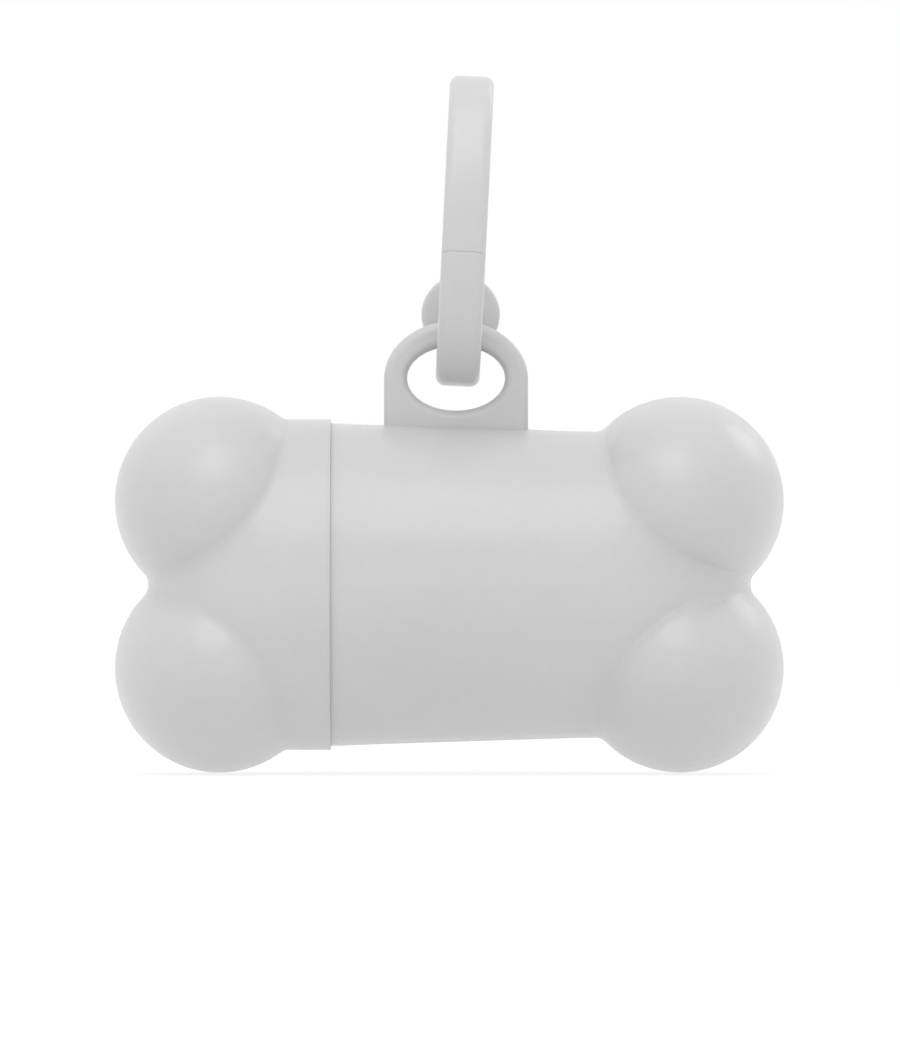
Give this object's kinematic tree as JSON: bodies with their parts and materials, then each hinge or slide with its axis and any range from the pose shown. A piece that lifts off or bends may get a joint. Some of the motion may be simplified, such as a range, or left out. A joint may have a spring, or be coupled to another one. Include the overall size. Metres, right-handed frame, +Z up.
{
  "type": "dog waste bag dispenser",
  "caption": "Bone-shaped case that holds a roll of dog waste bags, with a pull-off end cap, a bag slot and an oval clip through its tab.",
  "frame": {"origin": "inside top of the clip's eye, where a leash loop or ring pulls", "axes": "+Z up, along the pull of the leash; +X to the right as seen from the front, along the bone; the front faces -Y"},
  "size_m": [0.0848, 0.042, 0.0885],
  "materials": {
    "case_plastic": "satin, slightly milky moulded plastic",
    "clip_plastic": "satin, slightly milky moulded plastic",
    "bag_film": "thin film, wound",
    "core_board": "uncoated board"
  },
  "bodies": {
    "clip": {"clip_frame": "clip_plastic"},
    "gate": {"clip_gate": "clip_plastic"},
    "case": {"case_body": "case_plastic"},
    "cap": {"end_cap": "case_plastic"},
    "roll": {"bag_roll": "bag_film", "roll_core": "core_board"}
  },
  "joints": [
    {"name": "dispenser_swing", "type": "hinge", "parent": "clip", "child": "case", "pos_m": [-0.00185, 0, -0.02767], "axis": [1, 0, 0], "range_deg": [-55, 55]},
    {"name": "gate_open", "type": "hinge", "parent": "clip", "child": "gate", "pos_m": [0.00003, -0.00478, 0.00056], "axis": [0.9988, 0, -0.0489], "range_deg": [0, 28], "stiffness_Nm_per_rad": 0.1},
    {"name": "cap_pull", "type": "slide", "parent": "case", "child": "cap", "axis": [-1, 0, 0], "range_m": [0, 0.03]},
    {"name": "roll_spin", "type": "hinge", "parent": "case", "child": "roll", "pos_m": [-0.0027, 0, -0.06155], "axis": [1, 0, 0], "continuous": true}
  ]
}
